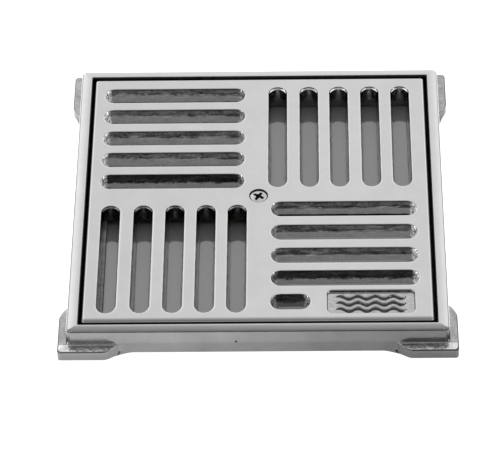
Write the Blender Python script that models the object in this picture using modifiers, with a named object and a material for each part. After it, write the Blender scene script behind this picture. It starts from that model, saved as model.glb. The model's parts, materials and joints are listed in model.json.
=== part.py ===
"""Square floor drain grate: a cast, chrome-plated frame with anchor feet at its corners, the slotted grate
that drops into it, and the captive screw, bridge bar, bush and rivets that hold the grate down.

Blender 4.5, metres, +Z up. The origin is the centre of the frame's footprint, on the underside of its feet.
+X is the right of the grate and +Y is its back.
"""

import math

import bmesh
import bpy
from mathutils import Matrix, Vector

MM = 0.001
TINY = 0.001 * MM
OVERCUT = 1.0 * MM  # how far a cutter runs past the face that it opens
TOUCH_GAP = 0.3 * MM  # room between pieces that touch on the real object

# Frame: an L-section ring, its rim on top and a ledge inside that carries the grate.
FRAME_SIDE = 150.0 * MM
FRAME_HEIGHT = 12.2 * MM
FRAME_CORNER = 3.0 * MM
RIM_WIDTH = 3.8 * MM
RIM_FLAT = 1.0 * MM
RIM_SLOPE = 22.0  # degrees, where the rim's fall from its flat strip meets its round outer edge
RIM_ROUND = 1.45 * MM
LEDGE_TOP = 4.1 * MM
LEDGE_WIDTH = 8.6 * MM  # along the left and right
LEDGE_END_WIDTH = 6.7 * MM  # along the front and back
OPENING_SIDE = FRAME_SIDE - 2 * RIM_WIDTH
THROAT_WIDTH = OPENING_SIDE - 2 * LEDGE_WIDTH
THROAT_LENGTH = OPENING_SIDE - 2 * LEDGE_END_WIDTH

# Feet: the frame's base runs out round each corner and flares back into the wall.
FOOT_REACH = 4.3 * MM
FOOT_HEIGHT = 4.9 * MM
FOOT_STRAIGHT = 19.5 * MM
FOOT_FLARE = 10.5 * MM
FOOT_CORNER = 1.8 * MM
FOOT_EDGE = 0.8 * MM
FOOT_SINK = 1.2 * MM  # how deep the flares end inside the wall
FLARE_STEPS = 8
FALL_STEPS = 3
CORNER_STEPS = 4

# Grate: a plate that lies a little below the rim, with its slots in four blocks like a pinwheel.
GRATE_SIDE = 140.0 * MM
GRATE_SHIFT = 0.7 * MM  # how far behind its screw the middle of the plate is
GRATE_TOP = 11.8 * MM
GRATE_BOTTOM = LEDGE_TOP + TOUCH_GAP
GRATE_CORNER = 1.6 * MM
GRATE_EDGE = 1.4 * MM
SLOT_WIDTH = 7.0 * MM
SLOT_PITCH = 12.9 * MM
SLOTS_IN_BLOCK = 5
SLOT_LENGTH = (SLOTS_IN_BLOCK - 1) * SLOT_PITCH + SLOT_WIDTH
SLOT_ROUND = 0.9 * MM
SLOT_DRAFT = 0.4 * MM  # how much each wall leans in, over the plate's thickness
SHORT_SLOT_LENGTH = 15.2 * MM
SLOT_END_STEPS = 8
SLOT_ROUND_STEPS = 3

# Where the middle of each block of slots lies, and whether its slots run across the grate or along it.
BLOCKS = {
    "back_left": ((-35.6 * MM, 34.0 * MM), "across"),
    "back_right": ((33.6 * MM, 34.3 * MM), "along"),
    "front_left": ((-34.6 * MM, -35.1 * MM), "along"),
    "front_right": ((34.6 * MM, -33.8 * MM), "across"),
}

# Cartouche: a shallow recess beside the short slot, with raised ripples in it.
CARTOUCHE_CENTRE = (44.8 * MM, -59.8 * MM)
CARTOUCHE_SIZE = (34.4 * MM, 11.8 * MM)
CARTOUCHE_DEPTH = 1.2 * MM
CARTOUCHE_CORNER = 2.0 * MM
CARTOUCHE_ROUND = 0.5 * MM
RIPPLES = 3
RIPPLE_LENGTH = 26.0 * MM
RIPPLE_WIDTH = 1.1 * MM
RIPPLE_PITCH = 3.0 * MM
RIPPLE_SWING = 0.55 * MM
RIPPLE_WAVES = 4
RIPPLE_STEPS = 24
RIPPLE_HEIGHT = 0.7 * MM
RIPPLE_SINK = 0.4 * MM

# Screw: M4 with a raised countersunk head and a cross recess, held captive by a washer under the grate.
SCREW_RADIUS = 2.0 * MM
SCREW_HEAD_RADIUS = 3.4 * MM
SCREW_RIM = 0.3 * MM
SCREW_CROWN = 0.35 * MM
SCREW_HEAD_TOP = GRATE_TOP - 0.5 * MM
SCREW_TIP = 1.1 * MM
SCREW_TIP_CHAMFER = 0.6 * MM
RECESS_SPAN = 4.4 * MM
RECESS_BLADE = 0.95 * MM
RECESS_TURN = 58.0  # degrees from +X to its first blade
RECESS_DEPTH = 1.7 * MM
RECESS_CORE_RADIUS = 1.05 * MM
HOLE_RADIUS = SCREW_RADIUS + TOUCH_GAP
SEAT_RADIUS = 3.9 * MM
SEAT_STRAIGHT = 0.65 * MM
POCKET_RADIUS = 4.6 * MM
POCKET_TOP = 8.3 * MM
WASHER_RADIUS = 4.1 * MM
WASHER_THICKNESS = 0.6 * MM
WASHER_BOTTOM = GRATE_BOTTOM + 0.1 * MM

# Bridge: a strip across the throat, let into the ledge and riveted, with a threaded bush in its middle.
BAR_WIDTH = 10.4 * MM
BAR_TOP = 3.9 * MM
BAR_BOTTOM = 1.9 * MM
BAR_BEARING = 6.0 * MM
BAR_CORNER = 2.0 * MM
BAR_LENGTH = THROAT_WIDTH + 2 * BAR_BEARING
BUSH_RADIUS = 3.1 * MM
BUSH_FLANGE_RADIUS = 4.5 * MM
BUSH_BOTTOM = 0.6 * MM
RIVET_SPOT = THROAT_WIDTH / 2 + BAR_BEARING / 2
RIVET_RADIUS = 1.5 * MM
RIVET_HEAD_RADIUS = 2.7 * MM
RIVET_TAIL_RADIUS = 2.2 * MM
RIVET_BOTTOM = 0.2 * MM
RIVET_HOLE_RADIUS = RIVET_RADIUS + TOUCH_GAP

ROUND_STEPS = 24


# ---------------------------------------------------------------- scene and materials


def clear_scene():
    for obj in list(bpy.data.objects):
        bpy.data.objects.remove(obj)


def new_collection(name):
    collection = bpy.data.collections.new(name)
    bpy.context.scene.collection.children.link(collection)
    return collection


def new_material(name, colour, roughness, metallic):
    material = bpy.data.materials.new(name)
    material.use_nodes = True
    shader = material.node_tree.nodes["Principled BSDF"]
    shader.inputs["Base Color"].default_value = (*colour, 1.0)
    shader.inputs["Roughness"].default_value = roughness
    shader.inputs["Metallic"].default_value = metallic
    return material


def new_object(name, mesh, collection, material=None):
    obj = bpy.data.objects.new(name, mesh)
    collection.objects.link(obj)
    if material:
        mesh.materials.clear()
        mesh.materials.append(material)
        mesh.shade_smooth()
        mesh.set_sharp_from_angle(angle=math.radians(35))
    return obj


def mesh_of(bm, name):
    mesh = bpy.data.meshes.new(name)
    bm.to_mesh(mesh)
    bm.free()
    return mesh


def hide_cutter(obj):
    obj.hide_render = True
    obj.display_type = "WIRE"
    return obj


def boolean(target, other, operation):
    modifier = target.modifiers.new(f"{operation.lower()}_{other.name}", "BOOLEAN")
    modifier.operation = operation
    modifier.solver = "EXACT"
    modifier.object = other


# ---------------------------------------------------------------- shapes


def block(size_x, size_y, bottom, top):
    """A box centred on the Z axis, as a bmesh."""
    bm = bmesh.new()
    bmesh.ops.create_cube(bm, size=1.0)
    bmesh.ops.scale(bm, vec=(size_x, size_y, top - bottom), verts=bm.verts)
    bmesh.ops.translate(bm, vec=(0.0, 0.0, (top + bottom) / 2), verts=bm.verts)
    return bm


def round_uprights(bm, radius, steps=CORNER_STEPS):
    uprights = [e for e in bm.edges if abs(e.verts[0].co.z - e.verts[1].co.z) > TINY]
    bmesh.ops.bevel(
        bm, geom=uprights, offset=radius, segments=steps, profile=0.5, affect="EDGES"
    )


def round_top(bm, top, radius, steps):
    edges = [e for e in bm.edges if all(abs(v.co.z - top) < TINY for v in e.verts)]
    bmesh.ops.bevel(
        bm, geom=edges, offset=radius, segments=steps, profile=0.5, affect="EDGES"
    )


def loft(rings, name):
    """A closed solid through rings of points, listed from the top down, each ring anticlockwise."""
    bm = bmesh.new()
    loops = [[bm.verts.new(point) for point in ring] for ring in rings]
    count = len(loops[0])
    for upper, lower in zip(loops, loops[1:]):
        for i in range(count):
            j = (i + 1) % count
            bm.faces.new((upper[i], lower[i], lower[j], upper[j]))
    bm.faces.new(loops[0])
    bm.faces.new(reversed(loops[-1]))
    return mesh_of(bm, name)


def arc(centre, radius, start, end, steps):
    """Points round a circle in plan, from start to end, in degrees."""
    angles = (math.radians(start + (end - start) * i / steps) for i in range(steps + 1))
    return [(centre[0] + radius * math.cos(a), centre[1] + radius * math.sin(a)) for a in angles]


def rounded_rectangle(length, width, radius, steps):
    """A rectangle with round corners in plan, anticlockwise. It is a slot where radius is half the width."""
    x = length / 2 - radius
    y = width / 2 - radius
    points = []
    for sign_x, sign_y, start in ((1, -1, -90), (1, 1, 0), (-1, 1, 90), (-1, -1, 180)):
        points += arc((sign_x * x, sign_y * y), radius, start, start + 90, steps)
    return points


def unique_points(points):
    """The points without any that repeats the one before it, as where two arcs meet."""
    kept = [p for p, q in zip(points, points[1:] + points[:1]) if math.dist(p, q) > TINY]
    return kept


def turned(name, profile, collection, material=None, closed=False):
    """A solid of revolution about Z. The profile's (radius, z) points run down its outer side."""
    bm = bmesh.new()
    verts = [bm.verts.new((radius, 0.0, z)) for radius, z in profile]
    for a, b in zip(verts, verts[1:]):
        bm.edges.new((a, b))
    if closed:
        bm.edges.new((verts[-1], verts[0]))
    obj = new_object(name, mesh_of(bm, name), collection)
    if material:
        obj.data.materials.append(material)
    screw = obj.modifiers.new("turn", "SCREW")
    screw.axis = "Z"
    screw.angle = math.tau
    screw.steps = ROUND_STEPS
    screw.render_steps = ROUND_STEPS
    screw.use_merge_vertices = True
    screw.merge_threshold = 0.01 * MM
    screw.use_smooth_shade = False
    return obj


def flat_solid(name, outline, bottom, top, collection, edge=0.0):
    """A mesh of an outline's thickness, from a filled 2D curve. edge rounds its top and bottom edges."""
    curve = bpy.data.curves.new(name, "CURVE")
    curve.dimensions = "2D"
    curve.fill_mode = "BOTH"
    curve.extrude = (top - bottom) / 2 - edge
    curve.bevel_depth = edge
    curve.bevel_resolution = 2
    curve.offset = -edge
    spline = curve.splines.new("POLY")
    spline.points.add(len(outline) - 1)
    for point, (x, y) in zip(spline.points, outline):
        point.co = (x, y, 0.0, 1.0)
    spline.use_cyclic_u = True
    guide = bpy.data.objects.new(f"{name}_curve", curve)
    collection.objects.link(guide)
    guide.location.z = (top + bottom) / 2
    graph = bpy.context.evaluated_depsgraph_get()
    mesh = bpy.data.meshes.new_from_object(guide.evaluated_get(graph))
    mesh.transform(guide.matrix_world)
    bpy.data.objects.remove(guide)
    bm = bmesh.new()
    bm.from_mesh(mesh)
    bmesh.ops.remove_doubles(bm, verts=bm.verts, dist=TINY)
    bmesh.ops.recalc_face_normals(bm, faces=bm.faces)
    return new_object(name, mesh_of(bm, name), collection)


# ---------------------------------------------------------------- frame


def foot_outline():
    """The frame's base in plan: sunk in the wall along each side, and run out round each corner."""
    outer = FRAME_SIDE / 2 + FOOT_REACH
    sunk = FRAME_SIDE / 2 - FOOT_SINK
    start = outer - FOOT_STRAIGHT - FOOT_FLARE
    flare = []
    for i in range(FLARE_STEPS + 1):
        share = i / FLARE_STEPS
        ease = (1 - math.cos(math.pi * share)) / 2
        flare.append((sunk + (outer - sunk) * ease, start + FOOT_FLARE * share))
    middle = outer - FOOT_CORNER
    corner = arc((middle, middle), FOOT_CORNER, 0, 90, CORNER_STEPS)
    quarter = flare + corner + [(y, x) for x, y in reversed(flare)]
    outline = []
    for _ in range(4):
        outline += quarter
        quarter = [(-y, x) for x, y in quarter]
    return outline


def rim_levels():
    """How far the frame's outer face lies inside its wall at each height, from the top down."""
    slope = math.radians(RIM_SLOPE)
    fall_width = RIM_WIDTH - RIM_FLAT - RIM_ROUND * (1 - math.sin(slope))
    fall = fall_width * math.tan(slope) / 2
    levels = []
    for i in range(FALL_STEPS):
        share = i / FALL_STEPS
        levels.append((RIM_WIDTH - RIM_FLAT - fall_width * share, FRAME_HEIGHT - fall * share**2))
    for i in range(CORNER_STEPS + 1):
        angle = slope + (math.pi / 2 - slope) * i / CORNER_STEPS
        drop = fall + RIM_ROUND * (math.cos(slope) - math.cos(angle))
        levels.append((RIM_ROUND * (1 - math.sin(angle)), FRAME_HEIGHT - drop))
    return levels + [(0.0, 0.0)]


def make_frame(collection, cutters, material):
    rings = []
    for inset, z in rim_levels():
        side = FRAME_SIDE - 2 * inset
        outline = rounded_rectangle(side, side, FRAME_CORNER - inset, CORNER_STEPS)
        rings.append([(x, y, z) for x, y in outline])
    frame = new_object("frame", loft(rings, "frame"), collection, material)

    feet = flat_solid("feet", foot_outline(), 0.0, FOOT_HEIGHT, cutters, edge=FOOT_EDGE)
    boolean(frame, hide_cutter(feet), "UNION")

    rebate_bottom = BAR_BOTTOM - TOUCH_GAP
    rebate_length = BAR_LENGTH + 2 * TOUCH_GAP
    rebate_width = BAR_WIDTH + 2 * TOUCH_GAP
    openings = {
        "opening": block(OPENING_SIDE, OPENING_SIDE, LEDGE_TOP, FRAME_HEIGHT + OVERCUT),
        "throat": block(THROAT_WIDTH, THROAT_LENGTH, -OVERCUT, LEDGE_TOP + OVERCUT),
        "rebates": block(rebate_length, rebate_width, rebate_bottom, LEDGE_TOP + OVERCUT),
    }
    for name, shape in openings.items():
        cutter = new_object(name, mesh_of(shape, name), cutters)
        boolean(frame, hide_cutter(cutter), "DIFFERENCE")

    for side, sign in (("left", -1), ("right", 1)):
        hole = turned(f"frame_rivet_hole_{side}", frame_rivet_profile(), cutters)
        hole.location.x = sign * RIVET_SPOT
        boolean(frame, hide_cutter(hole), "DIFFERENCE")
    return frame


def frame_rivet_profile():
    """The hole under a rivet: a clearance hole with a countersink below for the formed tail."""
    mouth = RIVET_TAIL_RADIUS + TOUCH_GAP
    depth = mouth - RIVET_HOLE_RADIUS
    return [
        (0.0, BAR_BOTTOM),
        (RIVET_HOLE_RADIUS, BAR_BOTTOM),
        (RIVET_HOLE_RADIUS, RIVET_BOTTOM + depth),
        (mouth, RIVET_BOTTOM),
        (mouth, -OVERCUT),
        (0.0, -OVERCUT),
    ]


# ---------------------------------------------------------------- grate


def slot_mesh(length, name):
    """The cutter for one slot along X: flared by the round edge on top, and leaning in to the bottom."""
    levels = [(SLOT_ROUND, GRATE_TOP + OVERCUT)]
    for i in range(SLOT_ROUND_STEPS + 1):
        angle = math.radians(90 * i / SLOT_ROUND_STEPS)
        grow = SLOT_ROUND * (1 - math.sin(angle))
        levels.append((grow, GRATE_TOP - SLOT_ROUND * (1 - math.cos(angle))))
    wall = GRATE_TOP - SLOT_ROUND - GRATE_BOTTOM
    levels.append((-SLOT_DRAFT * (wall + OVERCUT) / wall, GRATE_BOTTOM - OVERCUT))
    rings = []
    for grow, z in levels:
        size = (length + 2 * grow, SLOT_WIDTH + 2 * grow)
        outline = rounded_rectangle(*size, size[1] / 2, SLOT_END_STEPS // 2)
        rings.append([(x, y, z) for x, y in unique_points(outline)])
    return loft(rings, name)


def slot_places():
    """Each slot's (length, middle, quarter turns) on the grate."""
    places = []
    for name, ((x, y), run) in BLOCKS.items():
        for i in range(SLOTS_IN_BLOCK):
            step = (i - (SLOTS_IN_BLOCK - 1) / 2) * SLOT_PITCH
            length = SLOT_LENGTH
            middle = (x + step, y) if run == "along" else (x, y - step)
            if name == "front_right" and i == SLOTS_IN_BLOCK - 1:
                length = SHORT_SLOT_LENGTH
                middle = (x - (SLOT_LENGTH - SHORT_SLOT_LENGTH) / 2, y - step)
            places.append((length, middle, 1 if run == "along" else 0))
    return places


def slot_cutter(cutters):
    """All the slots as one cutter of separate closed shapes."""
    bm = bmesh.new()
    for length, middle, turns in slot_places():
        mesh = slot_mesh(length, "slot")
        mesh.transform(Matrix.Rotation(turns * math.pi / 2, 4, "Z"))
        mesh.transform(Matrix.Translation(Vector((*middle, 0.0))))
        bm.from_mesh(mesh)
        bpy.data.meshes.remove(mesh)
    return hide_cutter(new_object("slots", mesh_of(bm, "slots"), cutters))


def cartouche_cutter(cutters):
    floor = GRATE_TOP - CARTOUCHE_DEPTH
    levels = (
        (CARTOUCHE_ROUND, GRATE_TOP + OVERCUT),
        (CARTOUCHE_ROUND, GRATE_TOP),
        (CARTOUCHE_ROUND * 0.3, GRATE_TOP - CARTOUCHE_ROUND * 0.3),
        (0.0, GRATE_TOP - CARTOUCHE_ROUND),
        (-CARTOUCHE_ROUND, floor),
    )
    rings = []
    for grow, z in levels:
        length, width = (side + 2 * grow for side in CARTOUCHE_SIZE)
        outline = rounded_rectangle(length, width, CARTOUCHE_CORNER + grow, CORNER_STEPS)
        rings.append([(x, y, z) for x, y in outline])
    cutter = new_object("cartouche", loft(rings, "cartouche"), cutters)
    cutter.location = (*CARTOUCHE_CENTRE, 0.0)
    return hide_cutter(cutter)


def ripple_outline(row):
    """One raised ripple in plan: a sine band of even width, row counted from the front."""
    y0 = CARTOUCHE_CENTRE[1] + (row - (RIPPLES - 1) / 2) * RIPPLE_PITCH
    lower = []
    for i in range(RIPPLE_STEPS + 1):
        share = i / RIPPLE_STEPS
        swing = RIPPLE_SWING * math.sin(math.tau * RIPPLE_WAVES * share)
        x = CARTOUCHE_CENTRE[0] + (share - 0.5) * RIPPLE_LENGTH
        lower.append((x, y0 + swing - RIPPLE_WIDTH / 2))
    upper = [(x, y + RIPPLE_WIDTH) for x, y in reversed(lower)]
    return lower + upper


def seat_profile():
    """The screw's hole: countersunk seat on top, and a pocket below where the captive washer travels."""
    seat_bottom = GRATE_TOP - SEAT_STRAIGHT - (SEAT_RADIUS - HOLE_RADIUS)
    return [
        (0.0, GRATE_TOP + OVERCUT),
        (SEAT_RADIUS, GRATE_TOP + OVERCUT),
        (SEAT_RADIUS, GRATE_TOP - SEAT_STRAIGHT),
        (HOLE_RADIUS, seat_bottom),
        (HOLE_RADIUS, POCKET_TOP),
        (POCKET_RADIUS, POCKET_TOP),
        (POCKET_RADIUS, GRATE_BOTTOM - OVERCUT),
        (0.0, GRATE_BOTTOM - OVERCUT),
    ]


def make_grate(collection, cutters, material):
    bm = block(GRATE_SIDE, GRATE_SIDE, GRATE_BOTTOM, GRATE_TOP)
    round_uprights(bm, GRATE_CORNER, 3)
    round_top(bm, GRATE_TOP, GRATE_EDGE, 3)
    bmesh.ops.translate(bm, vec=(0.0, GRATE_SHIFT, 0.0), verts=bm.verts)
    grate = new_object("grate", mesh_of(bm, "grate"), collection, material)
    boolean(grate, slot_cutter(cutters), "DIFFERENCE")
    boolean(grate, hide_cutter(turned("screw_seat", seat_profile(), cutters)), "DIFFERENCE")
    boolean(grate, cartouche_cutter(cutters), "DIFFERENCE")
    floor = GRATE_TOP - CARTOUCHE_DEPTH
    for row in range(RIPPLES):
        span = (floor - RIPPLE_SINK, floor + RIPPLE_HEIGHT)
        ripple = flat_solid(f"ripple_{row + 1}", ripple_outline(row), *span, cutters)
        boolean(grate, hide_cutter(ripple), "UNION")
    return grate


# ---------------------------------------------------------------- screw and washer


def screw_profile():
    """Raised countersunk head, plain shank in place of the thread, and a chamfered tip."""
    under_head = SCREW_HEAD_TOP - SCREW_RIM - (SCREW_HEAD_RADIUS - SCREW_RADIUS)
    crown = [
        (SCREW_HEAD_RADIUS * share, SCREW_HEAD_TOP + SCREW_CROWN * (1 - share**2))
        for share in (0.0, 0.35, 0.65, 0.85, 1.0)
    ]
    return crown + [
        (SCREW_HEAD_RADIUS, SCREW_HEAD_TOP - SCREW_RIM),
        (SCREW_RADIUS, under_head),
        (SCREW_RADIUS, SCREW_TIP + SCREW_TIP_CHAMFER),
        (SCREW_RADIUS - SCREW_TIP_CHAMFER, SCREW_TIP),
        (0.0, SCREW_TIP),
    ]


def recess_cutters(cutters):
    """The cross recess: two tapering blades at right angles and a conical core."""
    top = SCREW_HEAD_TOP + SCREW_CROWN
    bottom = top - RECESS_DEPTH
    made = []
    for name, angle in (("recess_blade_a", RECESS_TURN), ("recess_blade_b", RECESS_TURN + 90)):
        bm = block(RECESS_SPAN, RECESS_BLADE, bottom, top + OVERCUT)
        for vert in bm.verts:
            if vert.co.z < top:
                vert.co.x *= 0.35
                vert.co.y *= 0.7
        blade = new_object(name, mesh_of(bm, name), cutters)
        blade.rotation_euler.z = math.radians(angle)
        made.append(blade)
    core = [
        (0.0, top + OVERCUT),
        (RECESS_CORE_RADIUS, top + OVERCUT),
        (RECESS_CORE_RADIUS, top - SCREW_CROWN),
        (0.3 * MM, bottom - 0.3 * MM),
        (0.0, bottom - 0.3 * MM),
    ]
    made.append(turned("recess_core", core, cutters))
    return [hide_cutter(obj) for obj in made]


def make_screw(collection, cutters, material):
    screw = turned("centre_screw", screw_profile(), collection, material)
    for cutter in recess_cutters(cutters):
        boolean(screw, cutter, "DIFFERENCE")
    return screw


def make_washer(collection, material):
    top = WASHER_BOTTOM + WASHER_THICKNESS
    profile = [
        (HOLE_RADIUS, top),
        (WASHER_RADIUS, top),
        (WASHER_RADIUS, WASHER_BOTTOM),
        (HOLE_RADIUS, WASHER_BOTTOM),
    ]
    return turned("retaining_washer", profile, collection, material, closed=True)


# ---------------------------------------------------------------- bridge


def bar_rivet_profile():
    """A rivet's hole in the bar: countersunk on top for the head."""
    mouth = RIVET_HEAD_RADIUS + TOUCH_GAP
    return [
        (0.0, BAR_TOP + OVERCUT),
        (mouth, BAR_TOP + OVERCUT),
        (mouth, BAR_TOP),
        (RIVET_HOLE_RADIUS, BAR_TOP - (mouth - RIVET_HOLE_RADIUS)),
        (RIVET_HOLE_RADIUS, BAR_BOTTOM - OVERCUT),
        (0.0, BAR_BOTTOM - OVERCUT),
    ]


def make_bar(collection, cutters, material):
    bm = block(BAR_LENGTH, BAR_WIDTH, BAR_BOTTOM, BAR_TOP)
    round_uprights(bm, BAR_CORNER)
    bar = new_object("bridge_bar", mesh_of(bm, "bridge_bar"), collection, material)
    radius = BUSH_RADIUS + TOUCH_GAP
    profile = [
        (0.0, BAR_TOP + OVERCUT),
        (radius, BAR_TOP + OVERCUT),
        (radius, BAR_BOTTOM - OVERCUT),
        (0.0, BAR_BOTTOM - OVERCUT),
    ]
    boolean(bar, hide_cutter(turned("bush_hole", profile, cutters)), "DIFFERENCE")
    for side, sign in (("left", -1), ("right", 1)):
        hole = turned(f"bar_rivet_hole_{side}", bar_rivet_profile(), cutters)
        hole.location.x = sign * RIVET_SPOT
        boolean(bar, hide_cutter(hole), "DIFFERENCE")
    return bar


def make_bush(collection, material):
    flange_top = BAR_BOTTOM - TOUCH_GAP
    profile = [
        (HOLE_RADIUS, BAR_TOP),
        (BUSH_RADIUS, BAR_TOP),
        (BUSH_RADIUS, flange_top),
        (BUSH_FLANGE_RADIUS, flange_top),
        (BUSH_FLANGE_RADIUS, BUSH_BOTTOM),
        (HOLE_RADIUS, BUSH_BOTTOM),
    ]
    return turned("threaded_bush", profile, collection, material, closed=True)


def make_rivets(collection, material):
    """Countersunk on top in the bar, with the tail formed into the countersink under the ledge."""
    head_depth = RIVET_HEAD_RADIUS - RIVET_RADIUS
    tail_depth = RIVET_TAIL_RADIUS - RIVET_RADIUS
    profile = [
        (0.0, BAR_TOP),
        (RIVET_HEAD_RADIUS, BAR_TOP),
        (RIVET_RADIUS, BAR_TOP - head_depth),
        (RIVET_RADIUS, RIVET_BOTTOM + tail_depth),
        (RIVET_TAIL_RADIUS, RIVET_BOTTOM),
        (0.0, RIVET_BOTTOM),
    ]
    for side, sign in (("left", -1), ("right", 1)):
        rivet = turned(f"bridge_rivet_{side}", profile, collection, material)
        rivet.location.x = sign * RIVET_SPOT


def main():
    clear_scene()
    collection = new_collection("floor_drain_grate")
    cutters = new_collection("cutters")
    chrome = new_material("polished_chrome", (0.62, 0.62, 0.62), 0.12, 1.0)
    steel = new_material("screw_steel", (0.60, 0.60, 0.61), 0.25, 1.0)
    brass = new_material("brass", (0.72, 0.55, 0.28), 0.32, 1.0)
    nylon = new_material("nylon", (0.82, 0.81, 0.76), 0.55, 0.0)
    make_frame(collection, cutters, chrome)
    make_grate(collection, cutters, chrome)
    make_screw(collection, cutters, steel)
    make_washer(collection, nylon)
    make_bar(collection, cutters, brass)
    make_bush(collection, brass)
    make_rivets(collection, brass)


main()
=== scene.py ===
import json
import math

import bmesh
import bpy
from mathutils import Matrix, Vector, noise


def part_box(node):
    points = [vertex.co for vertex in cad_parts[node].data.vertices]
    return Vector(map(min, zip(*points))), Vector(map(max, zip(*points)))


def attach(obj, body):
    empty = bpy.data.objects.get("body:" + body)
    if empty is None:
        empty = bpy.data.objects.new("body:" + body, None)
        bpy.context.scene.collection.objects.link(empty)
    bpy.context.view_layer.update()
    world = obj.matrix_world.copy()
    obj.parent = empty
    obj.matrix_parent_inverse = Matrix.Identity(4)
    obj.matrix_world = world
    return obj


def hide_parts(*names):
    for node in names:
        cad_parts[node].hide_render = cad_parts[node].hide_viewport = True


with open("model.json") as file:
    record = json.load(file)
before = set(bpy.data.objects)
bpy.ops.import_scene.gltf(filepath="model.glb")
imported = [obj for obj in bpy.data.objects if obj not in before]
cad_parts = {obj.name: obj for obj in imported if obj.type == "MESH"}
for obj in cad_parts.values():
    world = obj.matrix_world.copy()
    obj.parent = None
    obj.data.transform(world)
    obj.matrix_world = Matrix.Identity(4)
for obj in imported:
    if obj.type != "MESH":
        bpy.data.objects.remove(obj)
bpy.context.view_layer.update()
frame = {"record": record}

MM = 0.001
TINY = 0.001 * MM
AXIS_RADIUS = 2 * TINY  # where a turned solid's ends close: too wide for mesh_of to merge
OVERCUT = 1.0 * MM
GAP = 0.3 * MM  # the room that the CAD keeps between pieces that touch

# ---------------------------------------- sizes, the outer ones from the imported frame

FRAME_LOW, FRAME_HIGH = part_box("frame")
GRATE_LOW, GRATE_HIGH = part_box("grate")
SCREW_LOW, SCREW_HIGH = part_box("centre_screw")
WASHER_LOW, WASHER_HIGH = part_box("retaining_washer")
BAR_LOW, BAR_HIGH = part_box("bridge_bar")
BUSH_LOW, BUSH_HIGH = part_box("threaded_bush")
RIVET_LOW, RIVET_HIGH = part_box("bridge_rivet_right")
MOUNTS = {mount["name"]: Vector(mount["pos_m"]) for mount in frame["record"]["mounts"]}

# Frame
WALL = MOUNTS["wall_right"].x
RIM_TOP = FRAME_HIGH.z
RIM_WIDTH = 4.1 * MM
RIM_LIP = 0.3 * MM
# The rim's flat strip, the slope in degrees where its fall meets its round edge, that edge's radius, and how
# far in from the CAD's wall it ends.
RIM_BEND = {
    "side": (0.8 * MM, 12.0, 0.9 * MM, 0.0),
    "front": (0.3 * MM, 25.0, 1.5 * MM, 0.6 * MM),
}
WALL_CORNER = 1.9 * MM
WIDER = 0.6 * MM  # the rim and walls stand this much further out to the left and right
LEDGE_TOP = GRATE_LOW.z - GAP
LEDGE_WIDTH = 8.6 * MM
LEDGE_NARROWER = 2.2 * MM  # how much narrower the ledge is along the front and back
POLISH_DEPTH = 1.6 * MM  # how far down the rim's polish reaches at the left and right
PIT_PLACE = (-8.6 * MM, -WALL, 6.0 * MM)
PIT_PROFILE = [  # a small casting pit in the front wall
    (radius * MM, z * MM) for radius, z in ((0.0, 0.5), (0.36, 0.36), (0.5, 0.0), (0.36, -0.36), (0.0, -0.5))
]
OPENING = WALL - RIM_WIDTH
THROAT = OPENING - LEDGE_WIDTH

# Feet
FOOT_OUTER = FRAME_HIGH.x
FOOT_TOP = LEDGE_TOP + 0.8 * MM
FOOT_CORNER = 1.4 * MM
FOOT_EDGE = 0.6 * MM
FOOT_FILLET = 0.7 * MM
FOOT_END = (54.6 * MM, 57.4 * MM)  # along each side, where a foot's top starts and is at its full reach
FLARE_END = (48.6 * MM, 60.6 * MM)  # the same for its base

# Grate
GRATE_HALF = GRATE_HIGH.x
GRATE_TOP = GRATE_HIGH.z
GRATE_BOTTOM = GRATE_LOW.z
GRATE_CORNER = 1.3 * MM
GRATE_EDGE = 1.4 * MM
GRATE_POLISHED = 8  # bands of the edge that are polished, from the top down
GRATE_FRONT = GRATE_LOW.y + 0.15 * MM
GRATE_BACK = GRATE_HIGH.y - 0.5 * MM
FRONT_EDGE = 1.5  # how much wider the fillet is along the front
SLOT_WIDTH = {"along": 7.6 * MM, "across": 8.0 * MM}
SLOT_PITCH = 12.9 * MM
SLOTS_IN_BLOCK = 5
BLOCK_RUN = (SLOTS_IN_BLOCK - 1) * SLOT_PITCH
SLOT_RUN = {"along": BLOCK_RUN, "across": BLOCK_RUN - 0.5 * MM}  # from one end's centre to the other's
SLOT_LIP = [  # how far the worn top has grown outward at each depth
    (grow * MM, drop * MM)
    for grow, drop in (
        (1.05, 0.0), (0.78, 0.016), (0.5, 0.048), (0.27, 0.095),
        (0.12, 0.15), (0.04, 0.23), (0.01, 0.32), (0.0, 0.42),
    )
]
LIP_ROUGHNESS = 0.35  # the roughness at the lip's lowest point, where the wall below has 1
SLOT_DRAFT = {"along": 0.9 * MM, "across": 0.4 * MM}
SLOT_SKIN = {"along": (2, 4), "across": (1, 6)}  # which material the wall has, and the band it starts at
DARK_ROWS = (8.2 * MM, -46.7 * MM, -59.6 * MM)  # the middles of the slots across whose walls are darker
BACK_END_SHARE = 0.25  # how much of the wear and draft a slot's back end has
LUMPS = ((3.2 * MM, 0.16 * MM), (1.1 * MM, 0.05 * MM))  # size and height
LUMP_STEP = 3.7  # how far apart two slots' lumps are in the noise
SHORT_SLOT_RUN = 7.8 * MM
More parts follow.
